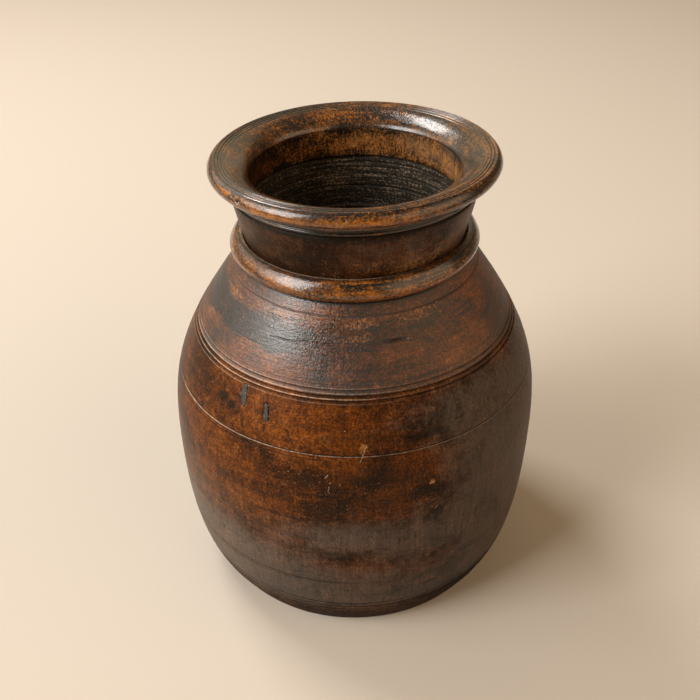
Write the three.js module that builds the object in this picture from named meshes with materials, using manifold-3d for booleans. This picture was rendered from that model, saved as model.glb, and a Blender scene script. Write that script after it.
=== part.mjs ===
import * as THREE from 'three';
import { mergeVertices } from 'three/addons/utils/BufferGeometryUtils.js';
import Module from 'manifold-3d';

// A turned wooden grain pot, in millimetres, standing on z = 0 with its axis on +Z.
// It is built in turned sections, each rebated into the next one along a turned line.

// Heights of the sections, from the ground up
const footHeight = 33.6;
const lowerHeight = 162.4;
const bandHeight = 38.9;
const shoulderHeight = 54.1;
const neckHeight = 52;
const lipHeight = 23.2;

// Outline of the body
const footRadius = 125.2;
const footEdge = 2.5;
const footFlare = 20.3;
const bellyRadius = 150;
const bellyLevel = 131.5;
const shoulderSlope = 35.8;
const shoulderRise = 3.5;
const wall = 11;

// How full the body's two curves are, as shares of each curve's own height
const footFullness = 0.12;
const lowerFullness = 0.82;
const upperFullness = 0.376;
const shoulderFullness = 0.6;

// Neck, collar and lip
const neckRadius = 84.2;
const neckFlare = 8.3;
const neckWall = 6.7;
const neckHousing = 5;
const throatUndercut = 2;
const throatDepth = 13;
const collarRound = 8.4;
const collarLedge = 2.3;
const lipReach = 14.7;
const lipRound = 5.8;
const lipFunnel = 13.5;

// Floor and the underside
const discRadius = 104;
const discThickness = 14;
const ledgeThickness = 8;
const ledgeWidth = 12;

// Joints: a tongue on the lower section stands in a rebate of the upper one
const tongueHeight = 5;
const tongueThickness = 4.5;
const lipTongueHeight = 9.5;
const lipTongueThickness = 5.5;
const clearance = 0.3;

// Turned lines
const grooveWidth = 1.8;
const grooveDepth = 0.8;
const groovePitch = 3.3;
const footLinePitch = 4.6;
const lipLinePitch = 3.4;
const lowLineLevel = 71;
const lowLineDepth = 0.5;

// Pitch fills in the belly: place round the pot, drop below the groove, and size
const longFillAngle = -127.2;
const longFillDrop = 11.6;
const longFillLength = 13.6;
const longFillWidth = 6;
const shortFillAngle = -118;
const shortFillDrop = 17.5;
const shortFillLength = 11.2;
const shortFillWidth = 4.6;
const fillDepth = 3.5;

// The pot has moved in drying: the mouth lies out of level, the foot stays flat
const mouthLean = 1.5;

const facets = 60;

const footJoint = footHeight;
const paleJoint = footJoint + lowerHeight;
const grooveJoint = paleJoint + bandHeight;
const collarSeat = grooveJoint + shoulderHeight;
const lipJoint = collarSeat + neckHeight;
const mouthLevel = lipJoint + lipHeight;
const throatRadius = neckRadius - neckWall;
const housingRadius = neckRadius + clearance;
const collarCentre = housingRadius + collarLedge;

const radians = THREE.MathUtils.degToRad;
const at = (r, z) => new THREE.Vector2(r, z);

// The body's outline is two curves that meet upright at the widest circle
const shoulderPeak = collarSeat + shoulderRise;
const upperRise = shoulderPeak - bellyLevel;
const lowerCurve = new THREE.CubicBezierCurve(
  at(footRadius, 0),
  at(
    footRadius + footFullness * bellyLevel * Math.sin(radians(footFlare)),
    footFullness * bellyLevel * Math.cos(radians(footFlare)),
  ),
  at(bellyRadius, bellyLevel * (1 - lowerFullness)),
  at(bellyRadius, bellyLevel),
);
const upperCurve = new THREE.CubicBezierCurve(
  at(bellyRadius, bellyLevel),
  at(bellyRadius, bellyLevel + upperRise * upperFullness),
  at(
    collarCentre + shoulderFullness * upperRise * Math.sin(radians(shoulderSlope)),
    shoulderPeak - shoulderFullness * upperRise * Math.cos(radians(shoulderSlope)),
  ),
  at(collarCentre, shoulderPeak),
);

// A point of a curve, moved in from it by the given depth
function inset(curve, t, depth) {
  const point = curve.getPoint(t);
  const tangent = curve.getTangent(t);
  return at(point.x - depth * tangent.y, point.y + depth * tangent.x);
}

// Radius at a height of the body's outline, or of the same outline moved in
function radiusAt(z, depth) {
  const curve = z < inset(lowerCurve, 1, depth).y ? lowerCurve : upperCurve;
  let low = 0;
  let high = 1;
  for (let step = 0; step < 40; step += 1) {
    const middle = (low + high) / 2;
    if (inset(curve, middle, depth).y < z) {
      low = middle;
    } else {
      high = middle;
    }
  }
  return inset(curve, low, depth).x;
}

const outer = (z) => radiusAt(z, 0);
const hollow = (z) => radiusAt(z, wall);

// Points up or down a stretch of the outline, both ends included
function stretch(radius, from, to, steps) {
  const points = [];
  for (let step = 0; step <= steps; step += 1) {
    const z = from + (to - from) * (step / steps);
    points.push(at(radius(z), z));
  }
  return points;
}

// A turned V groove across the outline
function groove(z, depth) {
  const half = grooveWidth / 2;
  return [at(outer(z - half), z - half), at(outer(z) - depth, z), at(outer(z + half), z + half)];
}

// Top of a section: half a groove, the joint's flat, the tongue, ending at the hollow
function jointTop(z) {
  const flat = z - clearance / 2;
  const tongue = hollow(z) + tongueThickness;
  const tip = flat + tongueHeight;
  return [
    at(outer(flat - grooveWidth / 2), flat - grooveWidth / 2),
    at(outer(flat) - grooveDepth, flat),
    at(tongue, flat),
    at(tongue, tip),
    at(hollow(tip), tip),
  ];
}

// Bottom of the section above it: the rebate over the tongue, then half a groove
function jointBottom(z) {
  const flat = z + clearance / 2;
  const rebate = hollow(z) + tongueThickness + clearance;
  const roof = flat + tongueHeight;
  return [
    at(hollow(roof), roof),
    at(rebate, roof),
    at(rebate, flat),
    at(outer(flat) - grooveDepth, flat),
    at(outer(flat + grooveWidth / 2), flat + grooveWidth / 2),
  ];
}

const innerTop = (z) => z - clearance / 2 + tongueHeight;
const innerBottom = (z) => z + clearance / 2 + tongueHeight;
const edgeAbove = (z) => z + (clearance + grooveWidth) / 2;
const edgeBelow = (z) => z - (clearance + grooveWidth) / 2;

// A section turned about +Z from its closed outline
function turned(points) {
  const geometry = new THREE.LatheGeometry([...points, points[0].clone()], facets);
  geometry.rotateX(Math.PI / 2);
  return geometry;
}

// The movement in drying: every height swings about the Y axis by its own share of the lean
function settled(geometry) {
  const position = geometry.getAttribute('position');
  for (let index = 0; index < position.count; index += 1) {
    const z = position.getZ(index);
    const share = Math.sin((Math.PI / 2) * Math.min(z / mouthLevel, 1));
    position.setZ(index, z + Math.tan(radians(mouthLean)) * share * position.getX(index));
  }
  geometry.computeVertexNormals();
  return geometry;
}

const wasm = await Module();
wasm.setup();

function toSolid(geometry) {
  const bare = geometry.clone();
  bare.deleteAttribute('normal');
  bare.deleteAttribute('uv');
  const welded = mergeVertices(bare, 1e-4);
  return new wasm.Manifold(
    new wasm.Mesh({
      numProp: 3,
      vertProperties: new Float32Array(welded.getAttribute('position').array),
      triVerts: new Uint32Array(welded.getIndex().array),
    }),
  );
}

function toGeometry(solid) {
  const mesh = solid.getMesh();
  const geometry = new THREE.BufferGeometry();
  geometry.setAttribute('position', new THREE.BufferAttribute(mesh.vertProperties, 3));
  geometry.setIndex(new THREE.BufferAttribute(mesh.triVerts, 1));
  return geometry;
}

// Foot: flat standing face, rounded edge, ledge and bore for the floor
const floorTop = ledgeThickness + clearance + discThickness;
const discBore = discRadius + clearance;
const footGeometry = turned([
  at(discBore - ledgeWidth, 0),
  at(footRadius - footEdge, 0),
  at(outer(footEdge) - footEdge * 0.25, footEdge * 0.3),
  ...stretch(outer, footEdge, edgeBelow(footJoint) - grooveWidth, 4),
  ...jointTop(footJoint),
  ...stretch(hollow, innerTop(footJoint), floorTop, 3).slice(1),
  at(discBore, floorTop),
  at(discBore, ledgeThickness),
  at(discBore - ledgeWidth, ledgeThickness),
]);

// Floor, resting on the foot's ledge
const discGeometry = turned([
  at(0, ledgeThickness + clearance),
  at(discRadius, ledgeThickness + clearance),
  at(discRadius, floorTop),
  at(0, floorTop),
]);

// Lower shell, with the upper one of the two foot lines and the faint low line
const upperFootLine = footJoint + footLinePitch;
const lowerGeometry = turned([
  ...jointBottom(footJoint),
  ...groove(upperFootLine, grooveDepth),
  at(outer((upperFootLine + lowLineLevel) / 2), (upperFootLine + lowLineLevel) / 2),
  ...groove(lowLineLevel, lowLineDepth),
  ...stretch(outer, (lowLineLevel + bellyLevel) / 2, edgeBelow(paleJoint) - grooveWidth, 5),
  ...jointTop(paleJoint),
  ...stretch(hollow, innerTop(paleJoint), innerBottom(footJoint), 6).slice(1, -1),
]);

// Belly band, with the lowest one of the three grooves and the two slots
const lowerGroove = grooveJoint - groovePitch;
const bandBlank = turned([
  ...jointBottom(paleJoint),
  ...stretch(outer, edgeAbove(paleJoint), lowerGroove - grooveWidth, 4).slice(1),
  ...groove(lowerGroove, grooveDepth),
  ...jointTop(grooveJoint),
  ...stretch(hollow, innerTop(grooveJoint), innerBottom(paleJoint), 4).slice(1, -1),
]);

// A block set square to the belly's surface, reaching in by the given depth
function blockAt(angle, drop, length, width, depth) {
  const z = grooveJoint - drop;
  const radius = outer(z);
  const lean = Math.atan2(outer(z - length / 2) - outer(z + length / 2), length);
  const proud = 2;
  const block = new THREE.BoxGeometry(depth + proud, width, length);
  block.translate((proud - depth) / 2, 0, 0);
  block.rotateY(-lean);
  block.translate(radius, 0, z);
  block.rotateZ(radians(angle));
  return toSolid(block);
}

function slotAt(angle, drop, length, width) {
  return blockAt(angle, drop, length, width, fillDepth);
}

function fillAt(angle, drop, length, width) {
  const spare = 2 * clearance;
  return blockAt(angle, drop, length - spare, width - spare, fillDepth - clearance);
}

const band = toSolid(bandBlank);
const longFill = fillAt(longFillAngle, longFillDrop, longFillLength, longFillWidth).intersect(band);
const shortFill = fillAt(shortFillAngle, shortFillDrop, shortFillLength, shortFillWidth).intersect(band);
const slottedBand = band
  .subtract(slotAt(longFillAngle, longFillDrop, longFillLength, longFillWidth))
  .subtract(slotAt(shortFillAngle, shortFillDrop, shortFillLength, shortFillWidth));

// Shoulder, with the highest of the three grooves and the housing for the neck
const upperGroove = grooveJoint + groovePitch;
const housingFloor = collarSeat - neckHousing;
const shoulderGeometry = turned([
  ...jointBottom(grooveJoint),
  ...groove(upperGroove, grooveDepth),
  ...stretch(outer, upperGroove + 2 * grooveWidth, collarSeat, 4),
  at(housingRadius, collarSeat),
  at(housingRadius, housingFloor),
  ...stretch(hollow, housingFloor, innerBottom(grooveJoint), 4).slice(0, -1),
]);

// Part of a round moulding, from one angle to another
function rounding(centre, radius, from, to, steps) {
  const points = [];
  for (let step = 0; step <= steps; step += 1) {
    const turn = radians(from + (to - from) * (step / steps));
    points.push(at(centre.x + radius * Math.cos(turn), centre.y + radius * Math.sin(turn)));
  }
  return points;
}

// Collar: a half-round with a narrow ledge, which stands on the shoulder and hugs the neck
const collarFoot = collarSeat + clearance;
const collarTop = collarFoot + 2 * collarRound;
const collarGeometry = turned([
  at(housingRadius, collarFoot),
  ...rounding(at(collarCentre, collarFoot + collarRound), collarRound, -90, 90, 8),
  at(housingRadius, collarTop),
]);

// Neck: a flared sleeve with a tongue on top and an undercut throat
const neckFoot = housingFloor + clearance;
const neckTop = lipJoint - clearance / 2;
const tongueTop = neckTop + lipTongueHeight;
const tongueRadius = throatRadius + lipTongueThickness;
const neckOutside = neckRadius + neckFlare;
const throatLevel = lipJoint - throatDepth;
const neckGeometry = turned([
  at(throatRadius + throatUndercut, neckFoot),
  at(neckRadius, neckFoot),
  at(neckRadius, collarTop),
  at(neckOutside, neckTop - grooveWidth / 2),
  at(neckOutside - grooveDepth, neckTop),
  at(tongueRadius, neckTop),
  at(tongueRadius, tongueTop),
  at(throatRadius, tongueTop),
  at(throatRadius, throatLevel),
  at(throatRadius + throatUndercut, throatLevel),
]);

// Lip: a skirt over the tongue, a bead and a cove under the rim, a round edge, and a funnel to the throat
const skirtFoot = lipJoint + clearance / 2;
const skirtRoof = skirtFoot + lipTongueHeight;
const roundCentre = at(neckOutside + lipReach - lipRound, mouthLevel - lipRound);
const lipLine = skirtFoot + lipLinePitch;
const coveStart = at(neckOutside, lipLine + grooveWidth / 2);
const coveEnd = at(roundCentre.x, roundCentre.y - lipRound);
const coveCurve = new THREE.QuadraticBezierCurve(coveStart, at(neckOutside, coveEnd.y), coveEnd);
const funnelFoot = at(throatRadius, skirtRoof);
const funnelTop = at(roundCentre.x, mouthLevel);
const funnelCurve = new THREE.CubicBezierCurve(
  funnelTop,
  at(funnelTop.x - lipFunnel, funnelTop.y),
  at(throatRadius, (funnelTop.y + funnelFoot.y) / 2),
  funnelFoot,
);
const lipGeometry = turned([
  at(tongueRadius + clearance, skirtRoof),
  at(tongueRadius + clearance, skirtFoot),
  at(neckOutside - grooveDepth, skirtFoot),
  at(neckOutside, skirtFoot + grooveWidth / 2),
  at(neckOutside, lipLine - grooveWidth / 2),
  at(neckOutside - grooveDepth, lipLine),
  ...coveCurve.getPoints(3),
  ...rounding(roundCentre, lipRound, -90, 90, 6).slice(1, -1),
  ...funnelCurve.getPoints(5),
]);

const oiledWood = { color: 0x4a2812, roughness: 0.45, metalness: 0 };
const wornWood = { color: 0x63331a, roughness: 0.4, metalness: 0 };
const blackPitch = { color: 0x15120f, roughness: 0.7, metalness: 0 };

const pot = new THREE.Group();

function addPiece(name, geometry, look) {
  const mesh = new THREE.Mesh(settled(geometry), new THREE.MeshStandardMaterial(look));
  mesh.name = name;
  pot.add(mesh);
}

addPiece('foot_ring', footGeometry, oiledWood);
addPiece('base_disc', discGeometry, oiledWood);
addPiece('lower_shell', lowerGeometry, oiledWood);
addPiece('belly_band', toGeometry(slottedBand), wornWood);
addPiece('pitch_fill_long', toGeometry(longFill), blackPitch);
addPiece('pitch_fill_short', toGeometry(shortFill), blackPitch);
addPiece('shoulder_shell', shoulderGeometry, oiledWood);
addPiece('collar_ring', collarGeometry, wornWood);
addPiece('neck_sleeve', neckGeometry, oiledWood);
addPiece('lip_ring', lipGeometry, wornWood);

export default pot;
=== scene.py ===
import math

import bpy
import numpy as np
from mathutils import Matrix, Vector


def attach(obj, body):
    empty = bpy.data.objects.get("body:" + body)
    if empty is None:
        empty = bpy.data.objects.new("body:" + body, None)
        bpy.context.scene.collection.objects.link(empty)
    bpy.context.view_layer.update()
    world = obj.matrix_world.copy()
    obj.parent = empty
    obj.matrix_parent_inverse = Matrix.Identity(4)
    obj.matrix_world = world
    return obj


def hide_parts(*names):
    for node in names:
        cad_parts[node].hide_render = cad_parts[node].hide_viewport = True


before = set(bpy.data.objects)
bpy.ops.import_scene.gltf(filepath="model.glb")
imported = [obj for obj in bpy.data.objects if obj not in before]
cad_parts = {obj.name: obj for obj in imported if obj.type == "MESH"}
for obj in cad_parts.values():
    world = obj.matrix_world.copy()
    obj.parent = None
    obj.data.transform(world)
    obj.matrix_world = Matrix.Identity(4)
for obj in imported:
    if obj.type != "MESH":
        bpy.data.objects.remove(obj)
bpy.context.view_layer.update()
print("frame loaded, nodes:", len(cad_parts))

mm = 0.001
scene = bpy.context.scene

view = {
    "distance": 618.0,      # in front of the pot's axis
    "height": 616.8,
    "pitch": 34.81,         # degrees below level
    "focalPixels": 900.0,
    "framePixels": 700.0,
    "axisPixel": 354.5,     # where the pot's axis stands in the frame
    "levelPixel": 350.5,
    "sensor": 36.0,
    "farthest": 50.0,       # metres
}


def placeCamera():
    data = bpy.data.cameras.new("potCamera")
    data.sensor_width = view["sensor"]
    data.lens = view["focalPixels"] * view["sensor"] / view["framePixels"]
    half = view["framePixels"] / 2
    data.shift_x = -(view["axisPixel"] - half) / view["framePixels"]
    data.shift_y = (view["levelPixel"] - half) / view["framePixels"]
    data.clip_end = view["farthest"]
    camera = bpy.data.objects.new("potCamera", data)
    camera.location = (0, -view["distance"] * mm, view["height"] * mm)
    camera.rotation_euler = (math.radians(90 - view["pitch"]), 0, 0)
    scene.collection.objects.link(camera)
    scene.camera = camera


stageLook = {
    "floorSize": 12.0,
    "floorColour": (0.530, 0.480, 0.420, 1),
    "floorRoughness": 0.9,
    "floorShine": 0.2,
    "worldColour": (0.95, 0.66, 0.38, 1),
    "worldStrength": 0.125,
}

# place, aim, width and height in metres, power in watts, colour
lamps = {
    "windowLeft": ((-4.2, -2.42, 3.2), (0, 0, 0.28), (2.6, 3.4), 346.0, (1.0, 0.96, 0.91)),
    "windowFarLeft": ((-4.9, -0.6, 3.1), (0, 0, 0.3), (1.9, 3.0), 80.0, (1.0, 0.95, 0.89)),
    "wallLeft": ((-3.4, 1.2, 2.0), (0, 0, 0.3), (4.0, 2.0), 46.0, (1.0, 0.85, 0.68)),
    "windowBack": ((-1.15, 1.05, 2.3), (0, 0, 0.34), (0.90, 0.74), 43.0, (1.0, 0.97, 0.93)),
    "paleWall": ((-0.5, 2.6, 1.9), (0, 0, 0.35), (4.2, 2.2), 20.0, (1.0, 0.78, 0.50)),
    "roomRight": ((2.2, -1.2, 1.7), (0, 0, 0.26), (3.4, 2.2), 43.0, (1.0, 0.72, 0.45)),
}


def lightRoom():
    scene.view_settings.view_transform = "Standard"
    world = bpy.data.worlds.new("softRoom")
    world.use_nodes = True
    background = world.node_tree.nodes["Background"]
    background.inputs["Color"].default_value = stageLook["worldColour"]
    background.inputs["Strength"].default_value = stageLook["worldStrength"]
    scene.world = world
    for name, (place, aim, size, power, colour) in lamps.items():
        data = bpy.data.lights.new(name, "AREA")
        data.shape = "RECTANGLE"
        data.size, data.size_y = size
        data.energy = power
        data.color = colour
        lamp = bpy.data.objects.new(name, data)
        lamp.location = place
        towards = Vector(aim) - Vector(place)
        lamp.rotation_euler = towards.to_track_quat("-Z", "Y").to_euler()
        lamp.visible_camera = False
        scene.collection.objects.link(lamp)


def layFloor():
    half = stageLook["floorSize"] / 2
    mesh = bpy.data.meshes.new("paleFloor")
    mesh.from_pydata([(-half, -half, 0), (half, -half, 0), (half, half, 0), (-half, half, 0)], [], [(0, 1, 2, 3)])
    ground = bpy.data.objects.new("paleFloor", mesh)
    scene.collection.objects.link(ground)
    material = bpy.data.materials.new("paleFloor")
    material.use_nodes = True
    shader = material.node_tree.nodes["Principled BSDF"]
    shader.inputs["Base Color"].default_value = stageLook["floorColour"]
    shader.inputs["Roughness"].default_value = stageLook["floorRoughness"]
    shader.inputs["Specular IOR Level"].default_value = stageLook["floorShine"]
    mesh.materials.append(material)


placeCamera()
lightRoom()
layFloor()
print("camera, lamps and floor set")

# the pot's outline, in millimetres
pot = {
    "footRadius": 125.2,
    "footFlare": 20.3,
    "bellyRadius": 150.0,
    "bellyLevel": 131.5,
    "shoulderSlope": 35.8,
    "peakRadius": 86.8,
    "peakLevel": 292.5,
    "wall": 11.0,
    "footFullness": 0.12,
    "lowerFullness": 0.82,
    "upperFullness": 0.376,
    "shoulderFullness": 0.6,
    "curveSteps": 300,
    "mouthLevel": 364.2,
    "mouthLean": 1.5,       # degrees, from drying
    "footJoint": 33.6,
    "paleJoint": 196.0,
    "grooveJoint": 234.9,
    "collarSeat": 289.0,
    "lipJoint": 341.0,
    "tongueHeight": 5.0,
    "tongueThickness": 4.5,
    "gap": 0.3,
}
meanLean = math.tan(math.radians(pot["mouthLean"]))


def bezier(p0, p1, p2, p3, count):
    t = np.linspace(0, 1, count)[:, None]
    a, b, c, d = (np.array(p, float) for p in (p0, p1, p2, p3))
    return (1 - t) ** 3 * a + 3 * (1 - t) ** 2 * t * b + 3 * (1 - t) * t ** 2 * c + t ** 3 * d


def bodyCurve():
    flare = math.radians(pot["footFlare"])
    slope = math.radians(pot["shoulderSlope"])
    footReach = pot["footFullness"] * pot["bellyLevel"]
    rise = pot["peakLevel"] - pot["bellyLevel"]
    topReach = pot["shoulderFullness"] * rise
    lower = bezier(
        (pot["footRadius"], 0),
        (pot["footRadius"] + footReach * math.sin(flare), footReach * math.cos(flare)),
        (pot["bellyRadius"], pot["bellyLevel"] * (1 - pot["lowerFullness"])),
        (pot["bellyRadius"], pot["bellyLevel"]), pot["curveSteps"])
    upper = bezier(
        (pot["bellyRadius"], pot["bellyLevel"]),
        (pot["bellyRadius"], pot["bellyLevel"] + rise * pot["upperFullness"]),
        (pot["peakRadius"] + topReach * math.sin(slope), pot["peakLevel"] - topReach * math.cos(slope)),
        (pot["peakRadius"], pot["peakLevel"]), pot["curveSteps"])
    return np.vstack([lower, upper[1:]])


outerCurve = bodyCurve()
tangent = np.gradient(outerCurve, axis=0)
tangent /= np.linalg.norm(tangent, axis=1)[:, None]
hollowCurve = outerCurve + pot["wall"] * np.stack([-tangent[:, 1], tangent[:, 0]], 1)


def outerAt(z):
    return np.interp(z, outerCurve[:, 1], outerCurve[:, 0])


def hollowAt(z):
    return np.interp(z, hollowCurve[:, 1], hollowCurve[:, 0])


def leanAt(z):
    return meanLean * np.sin(np.pi / 2 * np.clip(z / pot["mouthLevel"], 0, 1))


def notch(x):
    return np.where(np.abs(x) < 1, (1 + np.cos(np.pi * np.clip(x, -1, 1))) / 2, 0.0)


steepSide, easySide = 0.8, 1.45


# a turned line's section: steep on its upper side, easy on its lower one
def scored(x):
    return notch(np.where(x > 0, x / steepSide, x / easySide))


def smooth(low, high, x):
    t = np.clip((x - low) / (high - low), 0, 1)
    return t * t * (3 - 2 * t)


# rises of a value: how much, and from where to where; a fall is given from its upper end
def risen(x, *rises):
    return sum(more * smooth(low, high, x) for more, low, high in rises)


# waves that make an edge ragged: height, number and start of each
def ripple(x, waves):
    return sum(high * np.sin(x * number + start) for high, number, start in waves)


# an outline point is radius, level, 1 where it lies inside the pot, and how dark a turned line is there
def plain(points, inside=0.0):
    return [(float(r), float(z), inside, 0.0) for r, z in points]


# the two beads on the shoulder, between three grooves
beads = {
    "outerGrooves": (231.6, 238.2), "depth": 1.05, "arris": 1.3, "fall": 1.7, "proud": 0.14, "roundness": 0.9,
    "lipAt": 1.1, "lipHalf": 0.7,       # the low swelling beside the outer grooves, in widths of the arris
    "levels": (226, 244, 0.05),         # where their darkness is worked out
}


def beadDepth(z):
    low, high = beads["outerGrooves"]
    if z < low or z > high:
        away = (low - z if z < low else z - high) / beads["arris"]
        swell = float(notch((away - beads["lipAt"]) / beads["lipHalf"]))
        return beads["depth"] * max(0.0, 1 - away) ** beads["fall"] - beads["proud"] * swell
    half = (high - low) / 4
    x = ((z - low) % (2 * half)) / half - 1
    bow = (1 - math.sqrt(1 - beads["roundness"] * x * x)) / (1 - math.sqrt(1 - beads["roundness"]))
    return beads["depth"] * bow - beads["proud"] * (1 - x * x)


leastStep = 0.09            # between the levels of an outline
lineTenths = range(-8, 6)   # more levels at a turned line, in tenths of its width


def levelSteps(low, high, step, lines, fine):
    z = list(np.linspace(low, high, max(2, int(round((high - low) / step)) + 1)))
    for line in lines:
        z += [line["level"] + line["width"] * k / 10 for k in lineTenths]
    for start, stop, each in fine:
        z += list(np.arange(start, stop, each))
    z = np.array(sorted(v for v in z if low <= v <= high))
    return z[np.concatenate([[True], np.diff(z) > leastStep])]


def lineDepth(line, z):
    return line["depth"] * float(scored((z - line["level"]) / (line["width"] / 2)))


def outsideRun(low, high, step, lines, fine=(), beaded=False):
    run = []
    for z in levelSteps(low, high, step, lines, fine):
        depth = sum(lineDepth(line, z) for line in lines) + (beadDepth(z) if beaded else 0.0)
        run.append((float(outerAt(z)) - depth, float(z), 0.0, 1.0))
    return run


def insideRun(start, stop, step):
    count = max(2, int(abs(stop - start) / step) + 1)
    return plain([(hollowAt(z), z) for z in np.linspace(start, stop, count)], 1.0)


def arcRun(centre, radius, start, stop, count):
    return [(centre[0] + radius * math.cos(t), centre[1] + radius * math.sin(t))
            for t in np.radians(np.linspace(start, stop, count))]


# a round whose upper outer side is rubbed down to a nearly flat bevel
def rubbedRound(centre, radius, start, stop, count, low, high, bulge):
    first, last = arcRun(centre, radius, low, high, 2)
    face = math.radians((low + high) / 2)
    run = []
    for t in np.linspace(start, stop, count):
        spot = arcRun(centre, radius, t, t, 1)[0]
        if low < t < high:
            share = (t - low) / (high - low)
            lift = 4 * bulge * share * (1 - share)
            spot = (first[0] + (last[0] - first[0]) * share + lift * math.cos(face),
                    first[1] + (last[1] - first[1]) * share + lift * math.sin(face))
        run.append(spot)
    return run


# grooves cut in an outline from above: how deep they are at a radius, and how near that is to each
def cutGrooves(r, grooves):
    cuts = [(depth, float(notch((r - at) / (width / 2)))) for at, width, depth in grooves]
    return sum(depth * near for depth, near in cuts), cuts


def tongueTop(z):
    radius = float(hollowAt(z)) + pot["tongueThickness"]
    flat = z - pot["gap"] / 2
    return plain([(radius, flat), (radius, flat + pot["tongueHeight"])], 1.0)


def rebateBottom(z):
    radius = float(hollowAt(z)) + pot["tongueThickness"] + pot["gap"]
    flat = z + pot["gap"] / 2
    return plain([(radius, flat + pot["tongueHeight"]), (radius, flat)], 1.0)


# small node helpers, for geometry and for shaders; put gives the outputs of the new node
def put(tree, kind, inputs=None, **settings):
    node = tree.nodes.new(kind)
    for key, value in settings.items():
        setattr(node, key, value)
    for key, value in (inputs or {}).items():
        if isinstance(value, bpy.types.NodeSocket):
            tree.links.new(value, node.inputs[key])
        else:
            node.inputs[key].default_value = value
    return node.outputs


# the tree that the first socket among some values belongs to
def treeOf(*values):
    return next(value.id_data for value in values if isinstance(value, bpy.types.NodeSocket))


def calc(operation, a, b=0.0, clamp=False):
    return put(treeOf(a, b), "ShaderNodeMath", {0: a, 1: b}, operation=operation, use_clamp=clamp)[0]


def times(a, b):
    return calc("MULTIPLY", a, b)


def plus(total, value, weight):
    return calc("ADD", times(value, weight), total)


def vec(operation, a, b=(0, 0, 0), **more):
    return put(treeOf(a, b), "ShaderNodeVectorMath", {0: a, 1: b, **more}, operation=operation)


def joined(tree, **axes):
    return put(tree, "ShaderNodeCombineXYZ", axes)[0]


# the next step in the making of a mesh
def then(geometry, kind, into="Geometry", **inputs):
    return put(treeOf(geometry), kind, {into: geometry, **inputs})[0]


# inputs of the turning tree; the chatter of the tool is finer than the wobble
turning = {
    "Sweep Radius": 60 * mm, "Lean": meanLean, "Mouth Level": pot["mouthLevel"] * mm, "Wobble": 0.6 * mm,
    "Wobble Scale": 7.0, "Chatter": 0.22 * mm, "Chatter Scale": 70.0, "Seed": 11.0,
}
weld = 0.002 * mm


# an outline is swept round the axis, wobbles a little as hand-turned wood does, and leans as it dried
def buildTurningTree():
    tree = bpy.data.node_groups.new("turnedSection", "GeometryNodeTree")
    tree.interface.new_socket(name="Outline", in_out="INPUT", socket_type="NodeSocketGeometry")
    sockets = {}
    for name in ("Facets", *turning, "Finish"):
        kind = {"Facets": "NodeSocketInt", "Finish": "NodeSocketMaterial"}.get(name, "NodeSocketFloat")
        sockets[name] = tree.interface.new_socket(name=name, in_out="INPUT", socket_type=kind).identifier
    tree.interface.new_socket(name="Turned", in_out="OUTPUT", socket_type="NodeSocketGeometry")
    given = tree.nodes.new("NodeGroupInput").outputs

    outline = then(given["Outline"], "GeometryNodeMeshToCurve", "Mesh")
    inward = joined(tree, X=times(given["Sweep Radius"], -1.0))
    outline = then(outline, "GeometryNodeSetPosition", Offset=inward)
    circle = put(tree, "GeometryNodeCurvePrimitiveCircle",
                 {"Resolution": given["Facets"], "Radius": given["Sweep Radius"]})[0]
    circle = put(tree, "GeometryNodeSetCurveNormal", {"Curve": circle}, mode="Z_UP")[0]
    swept = put(tree, "GeometryNodeCurveToMesh", {"Curve": circle, "Profile Curve": outline})[0]
    swept = then(swept, "GeometryNodeMergeByDistance", Distance=weld)
    swept = then(swept, "GeometryNodeFlipFaces", "Mesh")

    place = tree.nodes.new("GeometryNodeInputPosition").outputs[0]
    split = put(tree, "ShaderNodeSeparateXYZ", {0: place})
    outward = vec("NORMALIZE", joined(tree, X=split["X"], Y=split["Y"]))[0]
    moves = []
    for size, detail in (("Wobble", 1.0), ("Chatter", 3.0)):
        wave = put(tree, "ShaderNodeTexNoise", {"Vector": place, "W": given["Seed"], "Scale": given[size + " Scale"],
                                                "Detail": detail}, noise_dimensions="4D")
        centred = times(calc("SUBTRACT", wave[0], 0.5), 2.0)
        moves.append(times(centred, given[size]))
    worked = then(swept, "GeometryNodeSetPosition", Offset=vec("SCALE", outward, Scale=calc("ADD", *moves))[0])

    share = calc("MINIMUM", calc("DIVIDE", split["Z"], given["Mouth Level"]), 1.0)
    lean = times(calc("SINE", times(share, math.pi / 2)), given["Lean"])
    worked = then(worked, "GeometryNodeSetPosition", Offset=joined(tree, Z=times(lean, split["X"])))
    worked = then(worked, "GeometryNodeSetShadeSmooth")
    worked = then(worked, "GeometryNodeRealizeInstances")
    worked = then(worked, "GeometryNodeSetMaterial", Material=given["Finish"])
    tree.links.new(worked, tree.nodes.new("NodeGroupOutput").inputs[0])
    return tree, sockets


turningTree, turningSockets = buildTurningTree()
print("turning tree built")


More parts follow.
